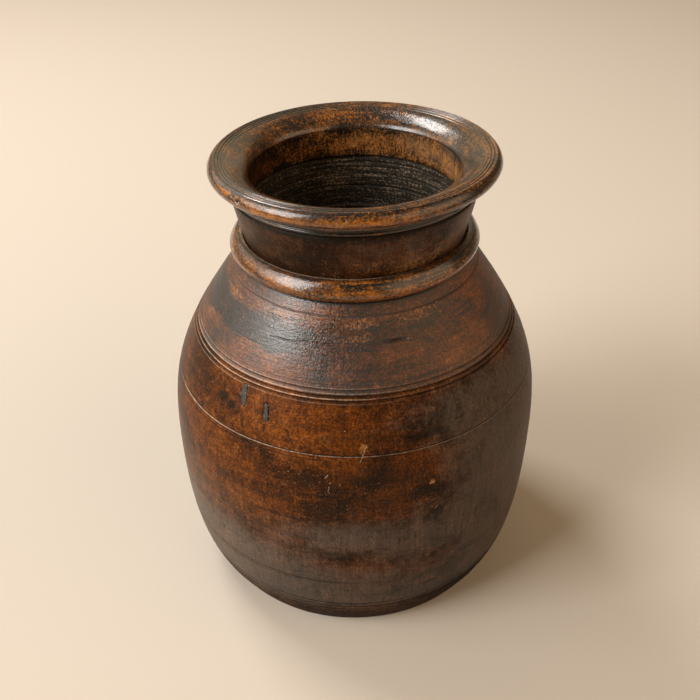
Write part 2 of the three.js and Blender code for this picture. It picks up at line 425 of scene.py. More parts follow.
def turnPiece(name, outline, facets, finish, closed=True, chatter=1.0):
    points = [(r * mm, -z * mm, 0) for r, z, inside, line in outline]
    count = len(points)
    edges = [(i, i + 1) for i in range(count - 1)] + ([(count - 1, 0)] if closed else [])
    mesh = bpy.data.meshes.new(name + "Outline")
    mesh.from_pydata(points, edges, [])
    steps = np.linalg.norm(np.diff(np.array(points), axis=0), axis=1)
    for label, values in (("along", np.concatenate([[0], np.cumsum(steps)])),
                          ("inside", [p[2] for p in outline]), ("line", [p[3] for p in outline])):
        mesh.attributes.new(label, "FLOAT", "POINT").data.foreach_set("value", values)
    piece = bpy.data.objects.new(name, mesh)
    scene.collection.objects.link(piece)
    modifier = piece.modifiers.new("turning", "NODES")
    modifier.node_group = turningTree
    values = {**turning, "Chatter": turning["Chatter"] * chatter, "Facets": facets, "Finish": finish}
    for label, value in values.items():
        modifier[turningSockets[label]] = value
    graph = bpy.context.evaluated_depsgraph_get()
    turned = bpy.data.meshes.new_from_object(piece.evaluated_get(graph), depsgraph=graph)
    piece.modifiers.remove(modifier)
    piece.data = turned
    bpy.data.meshes.remove(mesh)
    turned.name = name
    turned.calc_loop_triangles()
    print("turned", name, "triangles", len(turned.loop_triangles))
    return piece


leanRounds = 4      # the level before the lean is found in a few rounds


def readPoints(piece):
    count = len(piece.data.vertices)
    points = np.empty(count * 3)
    piece.data.vertices.foreach_get("co", points)
    points = points.reshape(-1, 3) / mm
    level = points[:, 2].copy()
    for step in range(leanRounds):
        level = points[:, 2] - leanAt(level) * points[:, 0]
    angle = np.degrees(np.arctan2(points[:, 1], points[:, 0]))
    return points, angle, level


def readMark(piece, label):
    values = np.empty(len(piece.data.vertices))
    piece.data.attributes[label].data.foreach_get("value", values)
    return values


def writeMarks(piece, **marks):
    attributes = piece.data.attributes
    for label, values in marks.items():
        mark = attributes.get(label) or attributes.new(label, "FLOAT", "POINT")
        mark.data.foreach_set("value", np.asarray(values, np.float32))


def writePoints(piece, points):
    piece.data.vertices.foreach_set("co", (points * mm).ravel())
    piece.data.update()


def turnFrom(angle, centre):
    return (angle - centre + 180) % 360 - 180


# a soft patch round an angle and a level, and a soft sector at every level
def patch(angle, level, at, reach, soft):
    d = np.hypot(turnFrom(angle, at[0]) / reach[0], (level - at[1]) / reach[1])
    return 1 - smooth(1 - soft, 1 + soft, d)


def sector(angle, at, reach, soft):
    return 1 - smooth(1 - soft, 1 + soft, np.abs(turnFrom(angle, at)) / reach)


def sided(angle, least, more, *where):
    return least + more * sector(angle, *where)


# stains on the outside, with some painted shade among the soot: angle, level, reach of each, softness, strength; the
# front is at -90, the left at 180
stainsAndShade = {
    "soot": [
        (-112, 268, 12, 10, 0.7, 0.52), (-92, 268, 18, 14, 0.8, 0.46), (-150, 246, 4.5, 8, 0.8, 0.55),
        (-135, 215, 3.0, 5, 1.0, 0.62), (-131, 212.5, 2.2, 4, 1.0, 0.66), (-104, 174, 8, 11, 0.9, 0.46),
        (-97, 170, 4, 9, 0.9, 0.44), (-72, 160, 16, 9, 0.9, 0.45), (-94, 150, 10, 8, 0.9, 0.45),
        (-84, 156, 14, 12, 0.9, 0.44), (-57, 214, 3, 16, 0.9, 0.4), (-46, 212, 9, 12, 0.9, 0.26),
        (-40, 270, 9, 9, 0.9, 0.44), (-28, 255, 6, 10, 0.9, 0.4), (-98, 205, 5, 9, 1.0, 0.3),
        (-75, 208, 6, 12, 0.9, 0.24), (-102, 245, 6, 4, 0.9, 0.4), (-143.6, 199, 0.9, 5, 0.8, 0.5),
        (-62, 272, 8, 5, 0.9, 0.42), (-44, 232, 6, 5, 0.9, 0.42), (-80, 214, 12, 12, 0.9, 0.2),
        # the rows at angle -44 level 20 and at -88 level 12, low by the floor, are painted shade
        (-82, 178, 18, 16, 0.9, 0.46), (-88, 207, 14, 9, 0.9, 0.38), (-44, 20, 44, 30, 0.9, 0.60),
        (-88, 12, 40, 18, 0.9, 0.50), (100, 260, 40, 12, 0.6, 0.8), (50, 205, 18, 14, 0.9, 0.5),
        (150, 190, 14, 12, 0.9, 0.5), (20, 262, 16, 9, 0.8, 0.45), (80, 120, 26, 20, 0.9, 0.35),
    ],
    "rust": [
        (-122, 222, 36, 30, 0.7, 0.72), (-94, 221, 10, 9, 0.8, 0.1), (-84, 188, 14, 12, 0.8, 0.3),
        (-132, 185, 22, 24, 0.8, 0.5), (-134, 120, 26, 52, 0.8, 0.55), (-125, 106, 7, 10, 0.8, 0.3),
        (-102, 88, 5, 11, 0.8, 0.42), (-78, 112, 7, 12, 0.9, 0.36), (-31, 229, 5, 11, 0.8, 0.6),
        (-66, 236, 12, 10, 0.9, 0.4), (-76, 252, 18, 12, 0.8, 0.5), (-50, 246, 16, 16, 0.8, 0.42),
        (-30, 268, 20, 20, 0.8, 0.7), (-72, 184, 12, 12, 0.9, 0.3), (-36, 206, 10, 12, 0.9, 0.3),
        (-70, 34, 8, 8, 0.8, 0.4), (-88, 76, 14, 16, 0.9, 0.36), (-152, 225, 14, 18, 0.8, 0.4),
        (-105, 279, 40, 5, 0.8, 0.45), (-60, 280, 26, 5, 0.9, 0.35), (-84, 24, 5, 12, 0.8, 0.55),
        (-108, 160, 14, 16, 0.9, 0.3), (70, 225, 60, 26, 0.8, 0.5), (140, 215, 30, 24, 0.8, 0.5),
        (30, 180, 30, 20, 0.9, 0.35), (110, 150, 40, 30, 0.9, 0.35), (165, 110, 20, 30, 0.9, 0.3),
    ],
    "worn": [
        (-87.6, 201.5, 1.5, 4, 0.8, 0.5), (-67.7, 166, 0.8, 2, 0.8, 0.9), (-158, 213, 2.4, 5, 0.9, 0.3),
        (-150, 275, 14, 2.0, 0.9, 0.34), (-128, 278, 10, 2.4, 0.9, 0.3), (-93, 277, 12, 3.0, 0.9, 0.34),
        (-88, 268, 6, 2.4, 0.9, 0.3), (-60, 278, 12, 4, 0.9, 0.3),
    ],
    "speck": [
        (-107, 176, 7, 12, 0.8, 1.0), (-97, 173, 5, 12, 0.8, 1.0), (-88, 172, 8, 10, 0.9, 0.55),
        (-112, 163, 8, 10, 0.9, 0.5), (-70, 165, 6, 7, 0.9, 0.5), (-90, 152, 14, 8, 0.9, 0.4),
    ],
    "scratch": [(-109, 275, 15, 13, 0.8, 1.0)],
    "polish": [(-113, 273, 20, 20, 0.9, 1.0)],
}
# how much thicker or thinner the haze is there
hazeClouds = [
    (-50, 218, 22, 16, 1.0, 0.28), (-84, 174, 20, 22, 0.9, -0.5), (-98, 128, 16, 14, 0.9, 0.34),
    (-70, 118, 12, 16, 0.9, 0.3), (-90, 94, 12, 13, 0.9, -0.42), (-112, 100, 9, 16, 0.9, -0.3),
    (-66, 84, 8, 13, 0.9, -0.3),
]
# painted light and sheen low on the left, taken into the pale mark
lowLeftLight = (-158, 82, 34, 52, 0.9, 0.11)     # low on the left
# painted shade on the shoulder just under the collar: strength, and the levels where it rises
shadeUnderCollar = (0.6, 285.5, 288.5)


def patchesAt(angle, level, rows):
    return [strength * patch(angle, level, (a, z), (wide, high), soft) for a, z, wide, high, soft, strength in rows]


def cloud(angle, level, least, *rows):
    return least + sum(patchesAt(angle, level, rows))


# grey haze of dust low on the pot, which climbs less on the left but is thicker there as painted light; on the right a
# painted grey sheen reaches up to the grooves
haze = {
    "left": (-140, 34, 0.6), "right": (-18, 50, 0.5), "top": 142, "leftDrop": 20, "below": 40, "above": 14,
    "strength": 0.66, "leftMore": 0.36, "sideStrength": 0.84, "sideFade": (204, 250),
    "foot": (8, 42), "footLeast": 0.15,
}


def hazeField(angle, level):
    left, right = sector(angle, *haze["left"]), sector(angle, *haze["right"])
    top = haze["top"] - haze["leftDrop"] * left
    foot = smooth(*haze["foot"], level)
    low = ((1 - smooth(top - haze["below"], top + haze["above"], level)) * (haze["strength"] + haze["leftMore"] * left)
           * (haze["footLeast"] + (1 - haze["footLeast"]) * foot))
    side = haze["sideStrength"] * right * (1 - smooth(*haze["sideFade"], level)) * foot
    return cloud(angle, level, np.maximum(low, side), *hazeClouds)


# the smoked band round the left of the shoulder: a ragged lower edge, and an upper one that fades
smoked = {"low": (253.6, 257.0), "high": (262, 282), "waves": ((1.2, 17, 0), (0.8, 41, 1)), "middle": -156,
          "ends": (32, 52), "rubbed": 0.3}


def smokeBand(angle, level):
    rise = smooth(*smoked["low"], level + ripple(np.radians(angle), smoked["waves"]))
    rise = rise * (1 - smooth(*smoked["high"], level))
    return rise * (1 - smooth(*smoked["ends"], np.abs(turnFrom(angle, smoked["middle"]))))


def paintStainsAndLight(piece, angle, level, outside):
    smoke = smokeBand(angle, level)
    # besides soot, the dark mark takes the painted shade under the collar
    more = {"soot": [smoke, risen(level, shadeUnderCollar)], "polish": [smoked["rubbed"] * smoke]}
    for label, rows in stainsAndShade.items():
        total = np.maximum.reduce([0 * angle] + patchesAt(angle, level, rows) + more.get(label, []))
        writeMarks(piece, **{label: total * outside})
    writeMarks(piece, haze=hazeField(angle, level) * outside)


# pushes points in along the pot's radius
def sink(points, depth):
    radius = np.maximum(np.hypot(points[:, 0], points[:, 1]), 1e-6)
    points[:, :2] *= (1 - depth / radius)[:, None]


# pale rims on the beads, partly rubbed wear and partly a painted highlight: level, half width and strength, brightest
# on the lit left
beadRims = [(233.2, 0.5, 0.8), (236.6, 0.5, 0.65), (239.6, 0.36, 0.5), (230.1, 0.36, 0.4)]
rimLight = (0.08, 0.92, -134, 44, 0.5)
lineLook = {"sharp": 0.9, "grooveSharp": 1.4, "paleLeast": 0.35, "paleSoft": 0.4}


# lets a turned line die away outside the angles where it shows, and darkens what is left
def fadeLines(piece, points, angle, level, lines, beaded=False):
    outer = readMark(piece, "line") > 0.5
    dark = np.zeros(len(angle))
    # the pale mark starts from painted light low on the left; pale line edges and bead rims are partly painted
    # highlight
    pale = cloud(angle, level, 0, lowLeftLight)
    for line in lines:
        near = scored((level - line["level"]) / (line["width"] / 2))
        off = np.abs(turnFrom(angle, line["middle"]))
        sight = 1 - smooth(line["half"] - line["fade"], line["half"] + line["fade"], off)
        sight = line["faint"] + (1 - line["faint"]) * sight
        sink(points, -line["depth"] * near * (1 - sight) * outer)
        dark = np.maximum(dark, line.get("dark", 1.0) * near ** lineLook["sharp"] * sight)
        if "pale" in line:
            bright = sector(angle, line["paleMiddle"], line["paleHalf"], lineLook["paleSoft"])
            bright = lineLook["paleLeast"] + (1 - lineLook["paleLeast"]) * bright
            off = (level - line["level"] - line["paleOff"]) / line["paleWidth"]
            pale = np.maximum(pale, line["pale"] * sight * bright * notch(off))
    if beaded:
        levels = np.arange(*beads["levels"])
        cuts = np.clip([beadDepth(z) / beads["depth"] for z in levels], 0, 1)
        dark = np.maximum(dark, np.interp(level, levels, cuts) ** lineLook["grooveSharp"])
        lit = sided(angle, *rimLight)
        for at, half, strength in beadRims:
            pale = np.maximum(pale, strength * lit * notch((level - at) / half))
    writeMarks(piece, line=dark * outer, pale=pale * outer)


# what the four pieces of the body share; a cut reshapes the points and may give back a mark
def markOutside(piece, lines, beaded=False, cut=None):
    points, angle, level = readPoints(piece)
    outside = 1 - readMark(piece, "inside")
    fadeLines(piece, points, angle, level, lines, beaded)
    mark = cut(points, angle, level, outside) if cut else None
    writePoints(piece, points)
    paintStainsAndLight(piece, angle, level, outside)
    return mark


# shader helpers
def noise(vector, scale, detail, rough, stretch=None, warp=0.0):
    if stretch:
        vector = vec("MULTIPLY", vector, stretch)[0]
    return put(treeOf(vector), "ShaderNodeTexNoise", {"Vector": vector, "Scale": scale, "Detail": detail,
                                                      "Roughness": rough, "Distortion": warp})[0]


def ranged(value, low, high, least=0.0, most=1.0, **settings):
    return put(treeOf(value), "ShaderNodeMapRange", {0: value, 1: low, 2: high, 3: least, 4: most}, **settings)[0]


gathered = (0.3, 0.7)


# noise gathers round a half; this opens it out to 0 and 1
def lively(value):
    return ranged(value, *gathered)


def spread(value, low, high):
    return ranged(value, low, high, interpolation_type="SMOOTHSTEP")


def blend(share, a, b):
    return put(treeOf(share), "ShaderNodeMix", {0: share, 2: a, 3: b})[0]


def mixed(share, a, b, mode="MIX"):
    return put(treeOf(share, a), "ShaderNodeMix", {0: share, 6: a, 7: b}, data_type="RGBA", blend_type=mode)[2]


def shades(value, stops):
    ramp = put(treeOf(value), "ShaderNodeValToRGB", {0: value})[0]
    elements = ramp.node.color_ramp.elements
    for element, (spot, colour) in zip((elements[0], elements[1]), (stops[0], stops[-1])):
        element.position, element.color = spot, (*colour, 1)
    for spot, colour in stops[1:-1]:
        elements.new(spot).color = (*colour, 1)
    return ramp


def stain(tree, name):
    return put(tree, "ShaderNodeAttribute", attribute_name=name)["Fac"]


def weigh(fields, shares, start=0.0):
    total = start
    for name, share in shares.items():
        total = plus(total, fields[name], share)
    return total


# a scored mark: how near a spot lies to a straight stroke, 1 on the stroke
def buildStrokeGroup():
    tree = bpy.data.node_groups.new("strokeMark", "ShaderNodeTree")
    for name, kind in (("Spot", "NodeSocketVector"), ("Start", "NodeSocketVector"), ("Stop", "NodeSocketVector"),
                       ("Width", "NodeSocketFloat")):
        tree.interface.new_socket(name=name, in_out="INPUT", socket_type=kind)
    tree.interface.new_socket(name="Mark", in_out="OUTPUT", socket_type="NodeSocketFloat")
    given = tree.nodes.new("NodeGroupInput").outputs
    way = vec("SUBTRACT", given["Stop"], given["Start"])[0]
    reach = vec("SUBTRACT", given["Spot"], given["Start"])[0]
    share = calc("DIVIDE", vec("DOT_PRODUCT", reach, way)["Value"],
                 vec("DOT_PRODUCT", way, way)["Value"], clamp=True)
    near = vec("SCALE", way, Scale=share)[0]
    off = vec("LENGTH", vec("SUBTRACT", reach, near)[0])["Value"]
    mark = spread(off, given["Width"], 0.0)
    tree.links.new(mark, tree.nodes.new("NodeGroupOutput").inputs[0])
    return tree


strokeGroup = buildStrokeGroup()
strokeRadius = 138.0

# angle and level of both ends, width in millimetres
darkStrokes = [
    ((-143.9, 201), (-143.4, 193), 1.6), ((-125.6, 207), (-125.2, 202), 1.6),
    ((-117.8, 208.5), (-117.6, 204.5), 1.5), ((-110.1, 209.5), (-109.6, 206), 1.7),
    ((-109.6, 206), (-107.6, 199), 1.0), ((-123.7, 263.3), (-119.5, 264.3), 0.5),
    ((-119.5, 264.3), (-116, 263.6), 0.7), ((-115.4, 263.8), (-111.2, 264.8), 0.7),
    ((-110.8, 264.6), (-107.4, 265.4), 0.8), ((-79.4, 265.8), (-69.8, 265.6), 2.2),
    ((-57.6, 250), (-58.4, 240), 0.8), ((-58.4, 240), (-57.0, 212), 0.6),
    ((-67.2, 136.6), (-64.8, 140.6), 1.2), ((-107.2, 233), (-106.8, 226), 0.5),
    ((-146, 137), (-144, 134), 1.5), ((-34, 130), (-32.5, 127), 1.2),
    ((-114.6, 214), (-109, 212.6), 0.5), ((-99, 203), (-97.4, 200), 0.8),
    ((-99.4, 208), (-98.6, 204.5), 0.7), ((-86, 243), (-81, 246), 0.5),
]
# pale chips; the short one at -69.5, 265.4 is a painted highlight on the crack's end
paleStrokes = [
    ((-88.4, 191.5), (-87.6, 197), 0.5), ((-87.6, 197), (-86.6, 203), 0.5),
    ((-69.5, 265.4), (-69.1, 265.4), 0.6), ((-68.4, 165.4), (-67.2, 166.4), 1.1),
    ((-124.6, 268.6), (-124.2, 269.4), 0.9), ((-97.2, 168), (-97.0, 171), 0.5),
    ((-98.2, 178), (-97.4, 181), 0.6), ((-67, 139.4), (-65.6, 141.4), 0.4),
    ((-93, 213.2), (-92.7, 213.4), 0.5), ((-93.6, 193.4), (-93.3, 193.6), 0.5),
]


def strokes(spot, marks):
    total = None
    for start, stop, width in marks:
        ends = [(math.radians(a) * strokeRadius, z, 0) for a, z in (start, stop)]
        mark = put(treeOf(spot), "ShaderNodeGroup", {"Spot": spot, "Start": ends[0], "Stop": ends[1], "Width": width},
                   node_tree=strokeGroup)[0]
        total = mark if total is None else calc("MAXIMUM", total, mark)
    return total


darkWood = {
    "tones": [(0.0, (0.008, 0.005, 0.003)), (0.26, (0.027, 0.010, 0.003)), (0.5, (0.090, 0.025, 0.004)),
              (0.74, (0.190, 0.054, 0.006)), (1.0, (0.300, 0.100, 0.013))],
    "lift": 0.0,
    "shares": {"broad": 0.46, "mottle": 0.30, "fleck": 0.15, "streak": 0.22, "grit": 0.34, "scrapes": 0.0},
    # near-black of soot, dark lines and cracks, also used for painted shade
    "soot": (0.0105, 0.0075, 0.0048, 1),
    "sootEdge": {"streak": 0.26, "mottle": 0.26, "scrapes": 0.0},       # what makes its edges ragged
    # grey of dust, also used for painted sheen and light
    "haze": (0.081, 0.064, 0.051, 1),
    # amber of rubbed wood, also used for painted light on lit sides
    "wearAndLight": (0.32, 0.132, 0.034, 1),
    "wearEdge": {"mottle": 0.36, "fleck": 0.42, "grit": 0.44, "streak": 0.2},
    "wearSpan": (0.16, 0.68),
    "pale": (0.62, 0.49, 0.37, 1),
    "inner": (0.020, 0.0168, 0.0130, 1),
    "innerLight": (0.30, 0.215, 0.140, 1),
    "gloss": 0.30,
    "shine": 0.07,
    "relief": 0.8,
    "polish": 0.0,              # how much smoother it is where it is rubbed
    "calm": 0.0,                # how far its relief is worn away there
    "coat": 0.0,
    "coatGloss": 0.11,
    "coatRelief": 0.3,
    "lumps": 0.16,
    "pits": 0.22,
    "scrapes": 0.12,
    "crinkle": 0.2,             # strength of the fine dark cracks, and how many to a metre
    "crinkleScale": 150.0,
}
shoulderWood = {
    **darkWood,
    "shares": {"broad": 0.44, "mottle": 0.30, "fleck": 0.18, "streak": 0.20, "grit": 0.38, "scrapes": 0.2},
    "soot": (0.0095, 0.0085, 0.0085, 1),
    "sootEdge": {"streak": 0.44, "mottle": 0.10, "scrapes": 0.64},
    "gloss": 0.46, "shine": 0.62, "polish": 0.31, "calm": 0.6, "lumps": 0.07, "pits": 0.42, "scrapes": 0.42,
    "crinkle": 0.0,
}
wornWood = {
    **darkWood,
    "tones": [(0.0, (0.007, 0.006, 0.005)), (0.34, (0.016, 0.010, 0.006)), (0.5, (0.055, 0.020, 0.006)),
              (0.64, (0.15, 0.050, 0.008)), (0.8, (0.26, 0.090, 0.013)), (1.0, (0.38, 0.145, 0.024))],
    "lift": -0.03,
    "shares": {"broad": 0.24, "mottle": 0.20, "fleck": 0.42, "streak": 0.34, "grit": 0.60, "scrapes": 0.85},
    # amber of rubbed wood, also used for a painted sheen on the collar's left
    "wearAndLight": (0.44, 0.145, 0.012, 1),
    "wearEdge": {"mottle": 0.34, "fleck": 0.26, "grit": 0.34, "streak": 0.40},
    "wearSpan": (0.06, 0.82),
    "shine": 0.12, "relief": 0.9, "coat": 1.0, "coatRelief": 0.12, "lumps": 0.03, "pits": 0.32, "scrapes": 0.6,
    "crinkle": 0.7, "crinkleScale": 300.0,
}
footWood = {**darkWood, "shine": 0.03, "gloss": 0.5}
floorWood = {**darkWood, "lift": -0.10, "gloss": 0.6}

# noise in the wood: scale to a metre, detail, roughness, stretch, warp
grain = {
    "broad": (21, 6, 0.64, None, 0.5),
    "mottle": (70, 6, 0.68, None, 0.4),
    "streak": (24, 6, 0.62, (1, 1, 7)),
    "fibre": (420, 3, 0.6, (1, 1, 0.07)),
    "grit": (640, 2, 0.6),
    "rings": (60, 4, 0.6, (0.35, 0.35, 16)),
    "scrapes": (150, 4, 0.62, (0.22, 0.22, 3.2)),
    "blot": (34, 6, 0.72, None, 0.6),
    "pores": (620, 2, 0.5, (1, 1, 0.4)),
    "dots": (520, 2, 0.6),
}
roundThePot = ("streak", "rings", "scrapes")
openedOut = ("broad", "mottle", "streak", "grit", "scrapes")
spotSpans = {"blot": (0.55, 0.68), "pores": (0.58, 0.68), "dots": (0.64, 0.71)}
stainNames = ("rust", "haze", "soot", "worn", "speck", "scratch", "polish", "inside", "dim", "line", "pale", "rough")
# flecks and fine cracks run round the pot, but up and down where it is rough
fleckRuns = ((0.7, 0.7, 1.1), (1.1, 1.1, 0.55))
fleckNoise, fleckWarp = (540, 3, 0.66), 0.4
crackNoise, crackWarp, crackWidth, roughCracks = (3, 0.6), 1.0, 0.035, 0.4
turnedRadius = 0.1      # metres; the noise that runs round the pot is laid on it

# layers on the wood: shares of the fields, start, where it sets in and is full, how far it covers
layers = {
    "haze": ({"haze": 1.0, "mottle": 0.46, "broad": 0.7, "fleck": 0.2}, -0.68, (0.1, 0.86), 0.8),
    "soot": ({"soot": 1.0, "fleck": 0.2, "grit": 0.08}, -0.14, (0.30, 0.56), 0.9),
    "worn": ({"worn": 1.0}, 0.0, None, 0.8),
}
covers = {"blot": 0.4, "pores": 0.5, "line": 0.9, "dots": 0.36, "stroke": 0.9}
mixes = {
    "tone": ({"fibre": 0.10, "rust": 0.32}, 0.29),
    "hollow": ({"mottle": 0.14, "rings": 1.0, "fleck": 0.26, "grit": 0.36, "dim": -0.12}, -0.21),
    "pale": ({"fleck": 0.8, "streak": 0.6, "grit": 0.4}, -0.2),
    "gloss": ({"mottle": 0.10, "fleck": 0.08, "dustyAndSheen": 0.12, "inside": 0.25, "line": 0.2}, -0.06),
    "height": ({"fibre": 0.15, "grit": 0.32, "pores": -0.15, "crinkle": -0.5}, 0.0),
    "stroke": ({"grit": 0.3}, 0.75),
    "chipsAndGlint": ({"grit": 0.7}, 0.0),
}
hollowSpan = (0.59, 1.04)
fibreShade = (0.3, 0.7, 0.74, 1.24)
reliefDepth = 0.0006
scratches = {"turn": -38, "scale": (0.16, 1.1, 1), "noise": (1.0, 2, 0.5), "span": (0.5, 0.6), "depth": -0.22}
strokeDepth, strayNoise = -0.5, {"Scale": 160.0, "Detail": 2.0}     # how far a stroke is cut in, and how it wavers


def woodFields(tree, finish):
    place = put(tree, "ShaderNodeTexCoord")["Object"]
    split = put(tree, "ShaderNodeSeparateXYZ", {0: place})
    flat = joined(tree, X=split["X"], Y=split["Y"])
    around = vec("SCALE", vec("NORMALIZE", flat)[0], Scale=turnedRadius)[0]
    lift = joined(tree, Z=stain(tree, "along"))
    turned = vec("ADD", around, lift)[0]        # round the pot, and along its outline
    fields = {name: stain(tree, name) for name in stainNames}
    for name, settings in grain.items():
        value = noise(turned if name in roundThePot else place, *settings)
        if name in openedOut:
            value = lively(value)
        fields[name] = spread(value, *spotSpans[name]) if name in spotSpans else value
    rough = fields["rough"]
    flecks, cracks = [], []
    for stretch in fleckRuns:
        flecks.append(lively(noise(turned, *fleckNoise, stretch, fleckWarp)))
        worm = noise(turned, finish["crinkleScale"], *crackNoise, stretch, crackWarp)
        cracks.append(spread(calc("ABSOLUTE", calc("SUBTRACT", worm, 0.5)), crackWidth, 0.0))
    fields["fleck"] = blend(rough, *flecks)
    fields["crinkle"] = times(blend(rough, *cracks), plus(finish["crinkle"], rough, roughCracks))
    fields["scrapes"] = blend(rough, fields["scrapes"], 0.5)
    return fields, place, split


# a layer's share of each spot, with the finish's own ragged edges
def layer(fields, name, ragged, span=None):
    shares, start, usual, cover = layers[name]
    edge = weigh(fields, {**shares, **ragged}, start - 0.5 * sum(ragged.values()))
    return times(spread(edge, *(span or usual)), cover)


def woodColour(tree, finish, fields):
    soot, shares = finish["soot"], finish["shares"]
    more, start = mixes["tone"]
    tone = weigh(fields, {**shares, **more}, finish["lift"] + start - 0.5 * sum(shares.values()))
    fields["dustyAndSheen"] = layer(fields, "haze", {})
    colour = mixed(fields["dustyAndSheen"], shades(tone, finish["tones"]), finish["haze"])
    colour = mixed(layer(fields, "soot", finish["sootEdge"]), colour, soot)
    colour = mixed(times(fields["blot"], covers["blot"]), colour, soot)
    colour = mixed(layer(fields, "worn", finish["wearEdge"], finish["wearSpan"]), colour, finish["wearAndLight"])
    colour = mixed(fields["crinkle"], colour, soot)
    shade = ranged(fields["fibre"], *fibreShade)
    colour = mixed(1.0, colour, joined(tree, X=shade, Y=shade, Z=shade), "MULTIPLY")
    colour = mixed(times(fields["pores"], covers["pores"]), colour, soot)
    hollow = mixed(spread(weigh(fields, *mixes["hollow"]), *hollowSpan), finish["inner"], finish["innerLight"])
    colour = mixed(fields["inside"], colour, hollow)
    return mixed(times(fields["line"], covers["line"]), colour, soot)


# each spot's place on the unrolled outside, in millimetres, before the lean
def unrolled(tree, split):
    lean = times(calc("SINE", times(split["Z"], math.pi / 2 / (pot["mouthLevel"] * mm))), meanLean)
    level = calc("SUBTRACT", split["Z"], times(lean, split["X"]))
    angle = calc("ARCTAN2", split["Y"], split["X"])
    return joined(tree, X=times(angle, strokeRadius), Y=times(level, 1 / mm))


# scratches, dark strokes, and pale chips, one of which is a painted highlight at the crack's end
def scoreWood(tree, soot, fields, place, spot, colour, pale, height):
    slanted = put(tree, "ShaderNodeMapping", {"Vector": spot, "Rotation": (0, 0, math.radians(scratches["turn"])),
                                              "Scale": scratches["scale"]})[0]
    scrape = times(spread(noise(slanted, *scratches["noise"]), *scratches["span"]), fields["scratch"])
    height = plus(height, scrape, scratches["depth"])
    stray = put(tree, "ShaderNodeTexNoise", {"Vector": place, **strayNoise})["Color"]
    spot = vec("ADD", spot, vec("SUBTRACT", stray, (0.5, 0.5, 0.5))[0])[0]
    dark = times(strokes(spot, darkStrokes), weigh(fields, *mixes["stroke"]))
    chipsAndGlint = times(strokes(spot, paleStrokes), weigh(fields, *mixes["chipsAndGlint"]))
    colour = mixed(times(dark, covers["stroke"]), colour, soot)
    return colour, calc("MAXIMUM", pale, chipsAndGlint), plus(height, dark, strokeDepth)


def agedWood(name, finish, marked):
    material = bpy.data.materials.new(name)
    material.use_nodes = True
    tree = material.node_tree
    shader = tree.nodes["Principled BSDF"].inputs
    fields, place, split = woodFields(tree, finish)
    colour = woodColour(tree, finish, fields)
    speck = times(times(fields["speck"], fields["dots"]), covers["dots"])
    pale = calc("MAXIMUM", speck, times(fields["pale"], weigh(fields, *mixes["pale"])))
    shares, start = mixes["height"]
    height = weigh(fields, {"mottle": finish["lumps"], "fleck": finish["pits"], **shares}, start)
    height = times(height, plus(1.0, fields["polish"], -finish["calm"]))
    height = plus(height, fields["scrapes"], finish["scrapes"])
    if marked:
        spot = unrolled(tree, split)
        colour, pale, height = scoreWood(tree, finish["soot"], fields, place, spot, colour, pale, height)
    shares, start = mixes["gloss"]
    gloss = weigh(fields, {**shares, "polish": -finish["polish"]}, finish["gloss"] + start)
    tree.links.new(mixed(pale, colour, finish["pale"]), shader["Base Color"])
    tree.links.new(gloss, shader["Roughness"])
    shader["Specular IOR Level"].default_value = finish["shine"]
    shader["Coat Weight"].default_value = finish["coat"]
    shader["Coat Roughness"].default_value = finish["coatGloss"]
    for relief, socket in (("relief", "Normal"), ("coatRelief", "Coat Normal")):
        bump = put(tree, "ShaderNodeBump", {"Strength": finish[relief], "Distance": reliefDepth, "Height": height})
        tree.links.new(bump[0], shader[socket])
    return material


oiledDark = agedWood("oiledDarkWood", darkWood, True)
dullFoot = agedWood("dullFootWood", footWood, True)
oiledShoulder = agedWood("smokedShoulderWood", shoulderWood, True)
oiledWorn = agedWood("rubbedWood", wornWood, False)
dryFloor = agedWood("dryFloorWood", floorWood, False)
print("wood finishes mixed")


def handOver(piece, node):
    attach(piece, "root")
    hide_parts(node)


# a turned line: its level, width and depth, then the angles where it shows, how it fades, and what is left of it
def turnedLine(level, width, depth, middle, half, fade, faint, **more):
    return {"level": level, "width": width, "depth": depth, "middle": middle, "half": half, "fade": fade,
            "faint": faint, **more}


# two pieces meet at each of these
footLine = turnedLine(33.6, 3.2, 1.2, -114, 38, 10, 0.25)
# its pale lower edge is partly pale wear and partly a painted highlight, brightest towards the lit left
paleLine = turnedLine(196.0, 1.4, 0.5, -92, 70, 14, 0.5, pale=0.7, paleOff=-0.7, paleWidth=0.36, paleMiddle=-128,
                      paleHalf=34)


# a section of the body between two joints; only those with fine levels have the beads
def sectionOutline(look, low, high):
    half, tongue = pot["gap"] / 2, pot["tongueHeight"]
    outside = outsideRun(low + half, high - half, look["step"], look["lines"], look.get("fine", ()), "fine" in look)
    return (rebateBottom(low) + outside + tongueTop(high)
            + insideRun(high - half + tongue, low + half + tongue, look["innerStep"]))


def makeSection(name, node, look, outline, finish, cut=None):
    piece = turnPiece(name, outline, look["facets"], finish)
    mark = markOutside(piece, look["lines"], "fine" in look, cut)
    handOver(piece, node)
    return piece, mark


footRing = {
    "facets": 640,
    "ledgeBore": 92.3,
    "discBore": 104.3,
    "ledgeTop": 8.0,
    "floorTop": 22.3,
    "edge": [(96, 0), (104, 0), (112, 0), (118, 0), (121.6, 0), (123.6, 0.12), (124.9, 0.6), (125.6, 1.4)],
    "edgeTop": 2.4,
    "step": 1.2,
    "innerStep": 5,
    "lines": [turnedLine(28.4, 2.4, 0.6, -114, 32, 8, 0.1), footLine],
}


